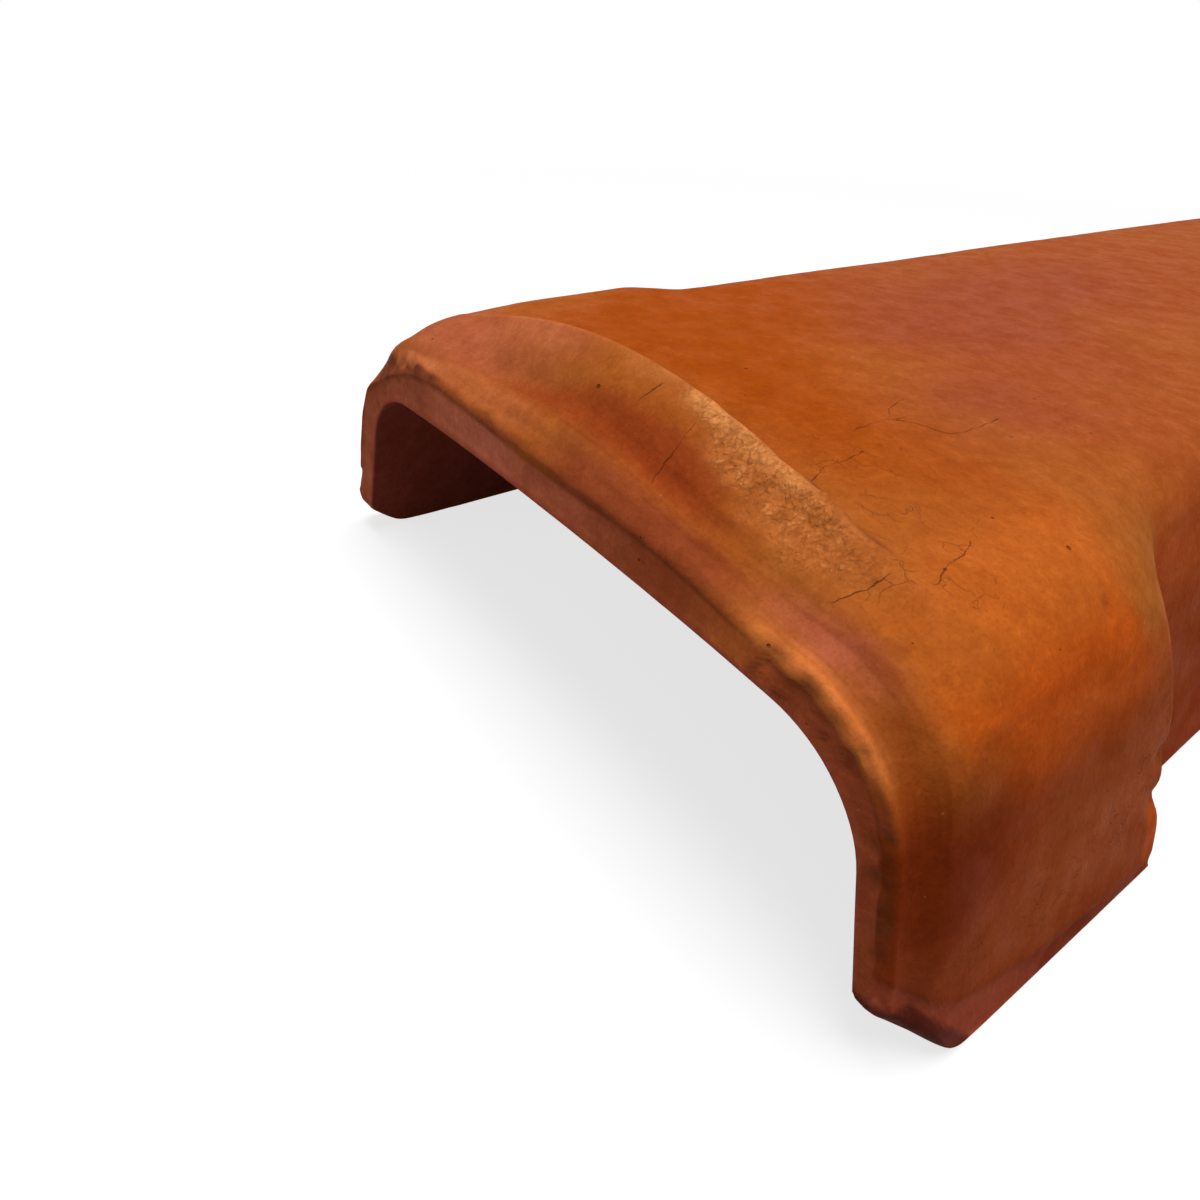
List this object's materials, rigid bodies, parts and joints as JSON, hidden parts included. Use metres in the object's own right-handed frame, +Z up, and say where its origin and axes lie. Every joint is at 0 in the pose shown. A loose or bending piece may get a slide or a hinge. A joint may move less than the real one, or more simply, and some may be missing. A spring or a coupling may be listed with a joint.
{
  "type": "clay roof tile",
  "caption": "Fired clay channel roof tile with a stepped wide socket head, a hooking lug across its crown and a tapering trough-shaped body.",
  "frame": {"origin": "on the floor plane, at the middle of the tile's width and length, as it lies hollow side down on its two feet", "axes": "+Y along the tile from the wide mouth to the narrow tail, +Z up out of the crown, X across the trough"},
  "size_m": [0.1788, 0.46, 0.0734],
  "materials": {
    "fired_clay": "matte unglazed terracotta, weathered, with mauve and ochre tints and dark stains"
  },
  "bodies": {
    "root": {"roof_tile": "fired_clay"}
  },
  "joints": []
}
